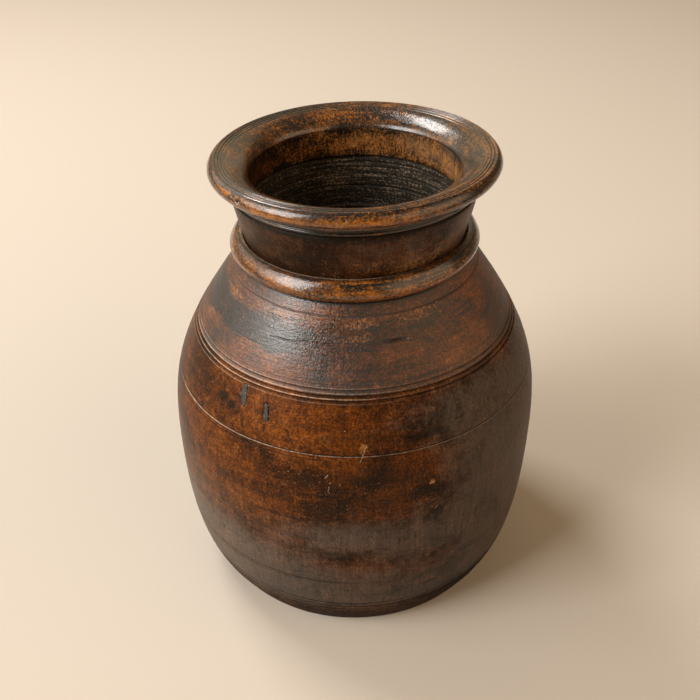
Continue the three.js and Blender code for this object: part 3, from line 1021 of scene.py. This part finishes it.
def makeFootRing():
    top = pot["footJoint"] - pot["gap"] / 2
    ledge, floor = footRing["ledgeTop"], footRing["floorTop"]
    outline = (plain([(footRing["ledgeBore"], 0)] + footRing["edge"])
               + outsideRun(footRing["edgeTop"], top, footRing["step"], footRing["lines"])
               + tongueTop(pot["footJoint"]) + insideRun(top + pot["tongueHeight"], floor, footRing["innerStep"])
               + plain([(footRing["discBore"], floor), (footRing["discBore"], ledge)], 1.0)
               + plain([(footRing["ledgeBore"], ledge)]))
    makeSection("footRing", "foot_ring", footRing, outline, dullFoot)


baseDisc = {
    "facets": 240, "under": 8.3, "top": 22.3, "underRun": (0, 103, 40), "topRun": (100, 0, 26),
    "lowerEdge": [(103.8, 0.3), (104.0, 0.9)], "upperEdge": [(104.0, -0.9), (103.2, 0.0)],
    "rings": [30, 62, 88], "ringHalf": 1.2, "ringDepth": 0.5, "ringSteps": 7, "dust": 0.5,
}


def makeBaseDisc():
    low, high, rings, half = (baseDisc[key] for key in ("under", "top", "rings", "ringHalf"))
    spots = [np.linspace(*baseDisc["underRun"])]
    spots += [np.linspace(at - half, at + half, baseDisc["ringSteps"]) for at in rings]
    under = []
    for r in sorted(set(np.round(np.concatenate(spots), 2))):
        under.append((r, low + baseDisc["ringDepth"] * sum(float(notch((r - at) / half)) for at in rings)))
    rim = [(r, low + up) for r, up in baseDisc["lowerEdge"]] + [(r, high + up) for r, up in baseDisc["upperEdge"]]
    top = [(r, high) for r in np.linspace(*baseDisc["topRun"])]
    piece = turnPiece("baseDisc", plain(under + rim) + plain(top, 1.0), baseDisc["facets"], dryFloor, closed=False)
    writeMarks(piece, haze=np.full(len(piece.data.vertices), baseDisc["dust"]))
    handOver(piece, "base_disc")


lowerShell = {
    "facets": 640, "step": 2.6, "innerStep": 12,
    "lines": [footLine, turnedLine(38.6, 2.8, 1.0, -114, 36, 9, 0.2), turnedLine(65.8, 1.8, 0.3, -132, 12, 6, 0.1),
              turnedLine(69.4, 2.8, 0.55, -126, 36, 20, 0.2, dark=0.7),
              turnedLine(191.8, 1.4, 0.28, -126, 28, 10, 0.1), paleLine],
}


def makeLowerShell():
    outline = sectionOutline(lowerShell, pot["footJoint"], pot["paleJoint"])
    makeSection("lowerShell", "lower_shell", lowerShell, outline, oiledDark)


# the two fills are drawn by rows: height from the fill's middle, then its left and right edge
longFill = {"angle": -127.2, "level": 223.3, "depth": 1.8, "proud": 0.18,
            "rows": [(7.2, -1.3, 0.6), (6.3, -2.1, 1.2), (3.8, -2.3, 1.7), (2, -2.9, 2.2), (0.6, -3.4, 2.5),
                     (-0.9, -2.8, 3), (-2.7, -1.6, 3.4), (-4.7, -0.9, 3.6), (-6.3, 0, 3.4), (-7.3, 1.5, 2.6)]}
shortFill = {"angle": -118.0, "level": 217.4, "depth": 1.8, "proud": 0.15,
             "rows": [(5.8, -1.5, -0.2), (4.8, -2.2, 0.6), (2.9, -1.8, 1.2), (0.9, -1.3, 1.6), (-0.9, -1.6, 2.2),
                      (-2.6, -1.8, 2.7), (-4.2, -1.1, 2.8), (-5.3, -0.2, 2.4), (-5.9, 0.9, 1.7)]}
slotCut = {"deeper": 0.5, "wall": (-0.3, 0.2), "rimAt": 0.55, "rimHalf": 0.6, "rimWear": 0.5}


# the waves of their left and of their right edges
fillWaves = [((0.2, 4.3, turn), (0.14, 9.7, -turn)) for turn in (0.5, 2.4)]


def fillEdges(fill, v):
    heights, *edges = np.array(fill["rows"])[::-1].T
    return [np.interp(v, heights, edge) + ripple(v, waves) for edge, waves in zip(edges, fillWaves)]


# how far within a fill's edge each point of the band lies, less than 0 outside it
def fillInset(fill, angle, level):
    v = level - fill["level"]
    u = np.radians(turnFrom(angle, fill["angle"])) * outerAt(level)
    left, right = fillEdges(fill, v)
    return np.minimum.reduce([u - left, right - u, fill["rows"][0][0] - v, v - fill["rows"][-1][0]])


# the slots for the fills, and where their rims are rubbed
def cutSlots(points, angle, level, outside):
    rim = np.zeros(len(angle))
    for fill in (longFill, shortFill):
        inset = fillInset(fill, angle, level)
        sink(points, (fill["depth"] + slotCut["deeper"]) * smooth(*slotCut["wall"], inset) * outside)
        rim = np.maximum(rim, notch((inset + slotCut["rimAt"]) / slotCut["rimHalf"]) * outside)
    return rim


bellyBand = {"facets": 900, "step": 0.9, "innerStep": 8, "lines": [paleLine], "fine": [(229.4, 235.0, 0.17)]}


def makeBellyBand():
    outline = sectionOutline(bellyBand, pot["paleJoint"], pot["grooveJoint"])
    piece, rim = makeSection("bellyBand", "belly_band", bellyBand, outline, oiledDark, cutSlots)
    writeMarks(piece, worn=np.maximum(readMark(piece, "worn"), slotCut["rimWear"] * rim))


shoulderShell = {
    "facets": 720, "step": 1.0, "innerStep": 5, "housingDepth": 5.0,
    "lines": [turnedLine(241.6, 1.2, 0.2, -100, 50, 20, 0.2, dark=0.4), turnedLine(281.2, 1.5, 0.5, -80, 60, 20, 0.4)],
    "fine": [(235.0, 240.6, 0.17), (262.6, 269.4, 0.4)],
    "crack": {"start": (-79.2, 265.8), "stop": (-69.8, 265.6), "radius": 124, "width": 1.3, "floor": 0.26, "depth": 2.2,
              "ends": (0.06, 0.94)},
}


# a straight crack on the outside, deepest in its middle
def openCrack(points, angle, level, outside):
    crack = shoulderShell["crack"]
    (start, foot), (stop, head) = crack["start"], crack["stop"]
    u, v = np.radians(turnFrom(angle, start)) * crack["radius"], level - foot
    du, dv = math.radians(turnFrom(stop, start)) * crack["radius"], head - foot
    share = np.clip((u * du + v * dv) / (du * du + dv * dv), 0, 1)
    depth = crack["depth"] * (1 - smooth(crack["floor"], crack["width"], np.hypot(u - share * du, v - share * dv)))
    sink(points, depth * np.sin(np.pi * np.clip(share, *crack["ends"])) * outside)


def makeShoulderShell():
    low, seat = pot["grooveJoint"] + pot["gap"] / 2, pot["collarSeat"]
    housing = neckSleeve["radius"] + pot["gap"]
    housed = seat - shoulderShell["housingDepth"]
    outline = (rebateBottom(pot["grooveJoint"])
               + outsideRun(low, seat, shoulderShell["step"], shoulderShell["lines"], shoulderShell["fine"], True)
               + plain([(housing, seat), (housing, housed)], 1.0)
               + insideRun(housed, low + pot["tongueHeight"], shoulderShell["innerStep"]))
    makeSection("shoulderShell", "shoulder_shell", shoulderShell, outline, oiledShoulder, openCrack)


collarRing = {
    "facets": 600, "centre": 86.8, "round": 8.4, "arc": (-90, 86, 100), "bore": 84.5, "bevel": (2, 68), "bulge": 0.55,
    "chatter": 0.4,
    "grooves": [(89.6, 0.8, 0.22), (88.2, 0.8, 0.25)],      # radius, width and depth, on its top
    "grooveDark": 0.9,
    "quirk": [(86.3, 0.04), (85.6, 0.2), (85.0, 0.6)],      # radius, and how far below its top
    "boreTop": 0.9,
    # angle and tilt, where 0 degrees faces out and 90 faces up
    # the third patch, on the left at -152, is a painted sheen on the lit side; the others are wear
    "worn": [(-94, -6, 40, 46, 0.8, 0.44), (-100, 76, 80, 10, 0.8, 0.2), (-152, 40, 34, 36, 0.8, 0.34)],
    # less soot at the front, and painted shade on the right
    "frontSoot": (0.28, -0.15, -84, 30, 0.8), "rightShade": (0.0, 0.24, -24, 46, 0.6),
    "sootTilts": (1.0, 30, 60), "sootStops": (1.0, 80, 70),
    "pale": (-125, -0.9, 55, 0.7, 0.5, 0.7),                # angle, and radius from its centre
    "paleTop": 1, "rust": 0.3,
}


def makeCollarRing():
    foot = pot["collarSeat"] + pot["gap"]
    top = foot + 2 * collarRing["round"]
    middle = (collarRing["centre"], foot + collarRing["round"])
    rounding = []
    for r, z in rubbedRound(middle, collarRing["round"], *collarRing["arc"], *collarRing["bevel"],
                            collarRing["bulge"]):
        depth, cuts = cutGrooves(r, collarRing["grooves"] if z > middle[1] else [])
        dark = max([collarRing["grooveDark"] * near for _, near in cuts], default=0.0)
        rounding.append((r, z - depth, 0.0, dark))
    quirk = [(r, top - below) for r, below in collarRing["quirk"]]
    outline = (plain([(collarRing["bore"], foot)], 1.0) + rounding + plain(quirk)
               + plain([(collarRing["bore"], top - collarRing["boreTop"])], 1.0))
    piece = turnPiece("collarRing", outline, collarRing["facets"], oiledWorn, chatter=collarRing["chatter"])
    points, angle, level = readPoints(piece)
    out = np.hypot(points[:, 0], points[:, 1]) - collarRing["centre"]
    tilt = np.degrees(np.arctan2(level - foot - collarRing["round"], out))
    # the collar's darkening on the right is painted shade
    soot = sided(angle, *collarRing["frontSoot"]) + sided(angle, *collarRing["rightShade"])
    writeMarks(piece, worn=cloud(angle, tilt, 0, *collarRing["worn"]),
               rust=np.full(len(angle), collarRing["rust"]),
               soot=soot * risen(tilt, collarRing["sootTilts"]) * risen(tilt, collarRing["sootStops"]),
               pale=cloud(angle, out, 0, collarRing["pale"]) * (level > top - collarRing["paleTop"]))
    handOver(piece, "collar_ring")


neckSleeve = {
    "facets": 600, "radius": 84.2, "flare": 8.3, "flareBow": 0.92, "foot": 284.3, "collarTop": 306.1, "throat": 77.5,
    "undercut": 79.5, "throatLevel": 328.0, "tongue": 83.0, "tongueTop": 350.35,
    "line": {"level": pot["lipJoint"] - 0.6, "width": 2.4, "depth": 1.0},
    "step": 1.0, "outsideFrom": 3, "hiddenTo": 5,       # the last two below the collar's top
    "throatSteps": 24, "throatEdge": 0.5, "wallSteps": 76,
    "toolRings": [(325.5, 0.9), (321.0, 0.7), (316.5, 0.6), (311.0, 0.9), (300.2, 1.2)], "ringHalf": 1.6,
    # the spans that each cut's angle, level, half width, half height and depth are drawn from
    "cutSpans": [(-180, 180), (330, 349), (1.2, 3.0), (3, 8), (0.3, 1.0)], "cuts": 150, "cutSeed": 8, "gouges": 0.5,
    "boreRadius": 79, "boreMargin": 0.2,
    # marks in the bore and on the outside, some of them painted light and shade as said below
    # the amber at the back of the bore is partly the wood's own and partly painted light where light comes in through
    # the mouth
    "boreWearAndLight": (0.06, (48, 339, 85, 12, 0.8, 0.42)), "outerWorn": (0.02, (-62, 312, 26, 9, 0.9, 0.25)),
    # the grey in the bore on the right is a painted sheen
    "boreSheen": (0.0, (22, 342, 40, 12, 0.8, 0.9)), "outerHaze": (0.2, 0.3, -30, 36, 0.7),
    "boreRust": 0.1, "outerRust": (-0.14, (-62, 318, 30, 14, 0.9, 0.3)),
    # in the bore, the darkening on the left at 165 is painted shade, besides a dark band at the top; it is also darker
    # towards the bottom of the throat
    "boreSootAndShade": (0.1, 0.26, 165, 70, 0.7), "lowDark": (0.45, 335, 329), "edgeSoot": (0.35, 0.4, 165, 70, 0.7),
    "edge": (1.0, 341, 347), "edgeWaves": ((1.5, 13, 0), (1.1, 37, 2)),
    # outside, darker towards its top, under the lip
    "outerSoot": (0.38, -0.22, -30, 36, 0.7), "topDark": (0.3, 334, 341),
    # the hollow is painted darker in these sectors; the one on the left is painted shade
    "dim": [(0, 75, 0.7), (152, 40, 0.7)],
}


# short upright gouge cuts round the throat, at seeded places
def scoops(angle, level):
    chance = np.random.default_rng(neckSleeve["cutSeed"])
    total = np.zeros(len(angle))
    for cut in range(neckSleeve["cuts"]):
        at, z, wide, high, deep = (chance.uniform(*span) for span in neckSleeve["cutSpans"])
        total -= deep * np.exp(-(turnFrom(angle, at) / wide) ** 2 - ((level - z) / high) ** 2)
    return total


def neckOutline():
    top = pot["lipJoint"] - pot["gap"] / 2
    line, collarTop, radius = neckSleeve["line"], neckSleeve["collarTop"], neckSleeve["radius"]
    outside = []
    for z in levelSteps(collarTop - neckSleeve["outsideFrom"], top, neckSleeve["step"], [line], ()):
        share = min(max((z - collarTop) / (top - collarTop), 0), 1)
        depth = lineDepth(line, z)
        flared = radius + neckSleeve["flare"] * share ** neckSleeve["flareBow"]
        outside.append((flared - depth, float(z), 0.0, (depth / line["depth"]) ** 2))
    edge = neckSleeve["throatLevel"]
    bore = np.linspace(neckSleeve["tongueTop"], edge, neckSleeve["throatSteps"])
    throat = [(neckSleeve["throat"], z) for z in bore]
    wall = []
    for z in np.linspace(edge - neckSleeve["throatEdge"], neckSleeve["foot"], neckSleeve["wallSteps"]):
        ring = sum(d * float(notch((z - at) / neckSleeve["ringHalf"])) for at, d in neckSleeve["toolRings"])
        wall.append((neckSleeve["undercut"] + ring, z))
    return (plain([(radius, neckSleeve["foot"]), (radius, collarTop - neckSleeve["hiddenTo"])], 1.0) + outside
            + plain([(neckSleeve["tongue"], top), (neckSleeve["tongue"], neckSleeve["tongueTop"])], 1.0)
            + plain(throat) + plain(wall, 1.0))


def makeNeckSleeve():
    piece = turnPiece("neckSleeve", neckOutline(), neckSleeve["facets"], oiledDark)
    points, angle, level = readPoints(piece)
    radius = np.hypot(points[:, 0], points[:, 1])
    bore = (radius < neckSleeve["boreRadius"]) & (level > neckSleeve["throatLevel"] - neckSleeve["boreMargin"])
    sink(points, -neckSleeve["gouges"] * scoops(angle, level) * bore)
    writePoints(piece, points)
    # the bore's darkening on the left is painted shade, and its back and right carry painted light and sheen
    edge = risen(level + ripple(np.radians(angle), neckSleeve["edgeWaves"]), neckSleeve["edge"])
    boreSootAndShade = (sided(angle, *neckSleeve["boreSootAndShade"]) + risen(level, neckSleeve["lowDark"])
                + sided(angle, *neckSleeve["edgeSoot"]) * edge)
    outerSoot = sided(angle, *neckSleeve["outerSoot"]) + risen(level, neckSleeve["topDark"])
    worn, outerWorn, haze, rust = (cloud(angle, level, *neckSleeve[key])
                                   for key in ("boreWearAndLight", "outerWorn", "boreSheen", "outerRust"))
    writeMarks(piece, worn=np.where(bore, worn, outerWorn), soot=np.where(bore, boreSootAndShade, outerSoot),
               rust=np.where(bore, neckSleeve["boreRust"], rust),
               haze=np.where(bore, haze, sided(angle, *neckSleeve["outerHaze"])), rough=1.0 * bore,
               dim=np.maximum.reduce([sector(angle, *where) for where in neckSleeve["dim"]]))
    handOver(piece, "neck_sleeve")


lipRing = {
    "facets": 640, "skirt": 83.3, "roof": 350.42, "crest": 101.4, "round": 5.8, "funnel": 10.5, "drop": 5.0,
    "throat": 77.5, "arc": (-86, 88, 44), "bevel": (-4, 74), "bulge": 0.8, "chatter": 0.4,
    "step": 1.0, "fineStep": 0.19, "sweepSteps": 500, "coveSteps": 14,
    # radius, height over the foot, and how dark it is
    "bead": [(91.2, 0.0, 0.9), (91.8, 0.4, 0.4), (92.4, 0.9, 0.0), (92.6, 1.5, 0.0), (92.4, 2.1, 0.0),
             (91.9, 2.6, 0.4), (91.3, 3.2, 0.9), (91.6, 3.8, 0.5)],
    "cove": [(92.4, 4.4), (92.8, 8.6)],
    "coveTop": [(95.4, -0.3), (100.6, 0.0)],        # radius, and height from the underside of the round
    # radius, width and depth
    "crestLines": [(100.7, 1.5, 0.55), (98.4, 1.5, 0.55), (96.2, 1.3, 0.35), (93.6, 1.2, 0.18)],
    "crestDark": 1.6,
    # angle, radius and level, half width in degrees and millimetres, depth
    "nicks": [(-136.5, 106.4, 359.6, 1.2, 2.4, 1.6), (-139.8, 105.8, 361.0, 0.8, 1.0, 0.7),
              (-96.5, 106.9, 357.4, 0.7, 2.2, 0.7), (-93.4, 106.0, 359.8, 0.6, 1.8, 0.9),
              (-91.0, 105.0, 361.4, 0.5, 1.4, 0.8), (-148.0, 105.0, 361.6, 1.2, 0.9, 0.5),
              (35.0, 106.8, 360.0, 1.5, 1.5, 0.7), (118.0, 106.4, 361.2, 1.2, 1.4, 0.6)],
    "nickReach": 1.2, "nickDrop": 0.5,
    # least radius and the tilts of its outer face and of its crest, then the marks on them and on the funnel
    "outerFace": (92, -80, 95), "crestFace": (93, 70),
    "outerWorn": (0.04, (-92, -4, 46, 46, 0.8, 0.50), (-147, 34, 6, 20, 0.9, 0.45)),
    "funnelWorn": (0.14, 0.14, 145, 45, 0.8), "crestWorn": (0.05, 0.2, 5, 80, 0.6),
    "edgeSoot": [(0.22, 50, 80), (0.35, -36, -62)], "sootPatch": (-145, -8, 5, 14, 0.9, 0.4),
    "funnelSoot": 0.22, "throatSoot": (0.2, 354, 350), "rough": (1.0, 94, 91), "rust": 0.1,
}
lipCentre = (lipRing["crest"], pot["mouthLevel"] - lipRing["round"])


# the sweep from the crest down to the throat, with finer steps where it is grooved
def funnelRun():
    sweep = bezier((lipCentre[0], pot["mouthLevel"]), (lipCentre[0] - lipRing["funnel"], pot["mouthLevel"]),
                   (lipRing["throat"], lipRing["roof"] + lipRing["drop"]), (lipRing["throat"], lipRing["roof"]),
                   lipRing["sweepSteps"])
    grooved = sweep[:, 0] > lipRing["crestLines"][-1][0] - 1
    steps = np.where(grooved, lipRing["fineStep"], lipRing["step"])
    stride = np.cumsum(np.append(0, np.linalg.norm(np.diff(sweep, axis=0), axis=1)) / steps).astype(int)
    run = []
    for r, z in sweep[np.append(np.unique(stride, return_index=True)[1], len(sweep) - 1)]:
        depth, cuts = cutGrooves(r, lipRing["crestLines"])
        run.append((r, z - depth, 0.0, max(min(1, lipRing["crestDark"] * d) * near for d, near in cuts)))
    return run


def lipOutline():
    foot = pot["lipJoint"] + pot["gap"] / 2
    under = lipCentre[1] - lipRing["round"]
    bead = [(r, foot + up, 0.0, dark) for r, up, dark in lipRing["bead"]]
    cove = bezier(*[(r, foot + up) for r, up in lipRing["cove"]],
                  *[(r, under + up) for r, up in lipRing["coveTop"]], lipRing["coveSteps"])
    edge = rubbedRound(lipCentre, lipRing["round"], *lipRing["arc"], *lipRing["bevel"], lipRing["bulge"])
    return (plain([(lipRing["skirt"], lipRing["roof"]), (lipRing["skirt"], foot)], 1.0) + bead + plain(cove)
            + plain(edge) + funnelRun())


# knocks the nicks into the lip and says where they are
def chipLip(points, angle, level, radius):
    chipped = np.zeros(len(angle))
    for at, r, z, wide, high, depth in lipRing["nicks"]:
        away = np.sqrt((turnFrom(angle, at) / wide) ** 2 + ((level - z) ** 2 + (radius - r) ** 2) / high ** 2)
        near = np.clip(lipRing["nickReach"] - away, 0, 1)
        sink(points, depth * near)
        points[:, 2] -= lipRing["nickDrop"] * depth * near
        chipped = np.maximum(chipped, min(1, depth) * near)
    return chipped


def makeLipRing():
    piece = turnPiece("lipRing", lipOutline(), lipRing["facets"], oiledWorn, chatter=lipRing["chatter"])
    points, angle, level = readPoints(piece)
    radius = np.hypot(points[:, 0], points[:, 1])
    chipped = chipLip(points, angle, level, radius)
    writePoints(piece, points)
    tilt = np.degrees(np.arctan2(level - lipCentre[1], radius - lipCentre[0]))
    least, low, high = lipRing["outerFace"]
    outer = (radius > least) & (tilt > low) & (tilt < high)
    least, low = lipRing["crestFace"]
    crest = (radius > least) & (tilt >= low)
    worn = np.where(outer, cloud(angle, tilt, *lipRing["outerWorn"]), sided(angle, *lipRing["funnelWorn"]))
    outerSoot = cloud(angle, tilt, risen(tilt, *lipRing["edgeSoot"]), lipRing["sootPatch"])
    soot = np.where(outer, outerSoot, lipRing["funnelSoot"] + risen(level, lipRing["throatSoot"]))
    writeMarks(piece, rough=np.where(outer | crest, 0.0, risen(radius, lipRing["rough"])),
               worn=np.where(crest, sided(angle, *lipRing["crestWorn"]), worn),
               rust=np.full(len(angle), lipRing["rust"]), soot=np.maximum(soot, chipped))
    handOver(piece, "lip_ring")


pitchLook = {
    "shades": [(0.38, (0.006, 0.006, 0.006)), (0.52, (0.022, 0.021, 0.020)), (0.62, (0.075, 0.070, 0.064)),
               (0.74, (0.17, 0.16, 0.145))],
    "lumps": (900, 3, 0.6), "roughness": (0.3, 0.45), "relief": 0.0007,
}


def hardPitch():
    material = bpy.data.materials.new("hardPitch")
    material.use_nodes = True
    tree = material.node_tree
    shader = tree.nodes["Principled BSDF"]
    place = put(tree, "ShaderNodeTexCoord")["Object"]
    lump = noise(place, *pitchLook["lumps"])
    tree.links.new(shades(lump, pitchLook["shades"]), shader.inputs["Base Color"])
    more, least = pitchLook["roughness"]
    tree.links.new(plus(least, lump, more), shader.inputs["Roughness"])
    bump = put(tree, "ShaderNodeBump", {"Strength": 1.0, "Distance": pitchLook["relief"], "Height": lump})
    tree.links.new(bump[0], shader.inputs["Normal"])
    return material


pitch = hardPitch()
fillMesh = {"rows": 30, "columns": 14, "margin": 0.05, "lumps": 0.06, "sunken": 0.25, "backPinch": 0.7,
            "crownRise": 3, "sunkenRise": 5, "lumpRise": 4}


def fillPoint(fill, u, v, depth, pinch):
    z = fill["level"] + v * (0.5 + 0.5 * pinch)
    radius = float(outerAt(z)) - depth
    turn = math.radians(fill["angle"]) + u / radius
    x, y = radius * math.cos(turn), radius * math.sin(turn)
    return x * mm, y * mm, (z + float(leanAt(z)) * x) * mm


def makeFill(name, node, fill, seed):
    chance = np.random.default_rng(seed)
    rows, columns, margin = fillMesh["rows"], fillMesh["columns"], fillMesh["margin"]
    heights = np.linspace(fill["rows"][-1][0] + margin, fill["rows"][0][0] - margin, rows)
    lumps = chance.normal(0, fillMesh["lumps"], (rows, columns))
    front, back = [], []
    for i, v in enumerate(heights):
        left, right = fillEdges(fill, v)
        for j in range(columns):
            s = j / (columns - 1)
            edge = min(s, 1 - s, i / (rows - 1), 1 - i / (rows - 1)) * 2
            crown = fill["proud"] * min(1, edge * fillMesh["crownRise"])
            crown -= fillMesh["sunken"] * (1 - min(1, edge * fillMesh["sunkenRise"]))
            crown += lumps[i, j] * min(1, edge * fillMesh["lumpRise"])
            for face, depth, pinch in ((front, -crown, 1.0), (back, fill["depth"], fillMesh["backPinch"])):
                u = (left + right) / 2 + (right - left) * (s - 0.5) * pinch
                face.append(fillPoint(fill, u, v, depth, pinch))
    grid = np.arange(rows * columns).reshape(rows, columns)
    count = grid.size
    faces = []
    for a in grid[:-1, :-1].ravel().tolist():
        faces.append((a, a + 1, a + columns + 1, a + columns))
        faces.append((count + a, count + a + columns, count + a + columns + 1, count + a + 1))
    border = np.concatenate([grid[0], grid[1:, -1], grid[-1, -2::-1], grid[-2:0:-1, 0]]).tolist()
    faces += [(b, a, count + a, count + b) for a, b in zip(border, border[1:] + border[:1])]
    mesh = bpy.data.meshes.new(name)
    mesh.from_pydata(front + back, [], faces)
    mesh.shade_smooth()
    mesh.materials.append(pitch)
    piece = bpy.data.objects.new(name, mesh)
    scene.collection.objects.link(piece)
    handOver(piece, node)


makeFootRing()
makeBaseDisc()
makeLowerShell()
makeBellyBand()
makeShoulderShell()
makeCollarRing()
makeNeckSleeve()
makeLipRing()
makeFill("longPitchFill", "pitch_fill_long", longFill, 3)
makeFill("shortPitchFill", "pitch_fill_short", shortFill, 5)
print("all pieces made")
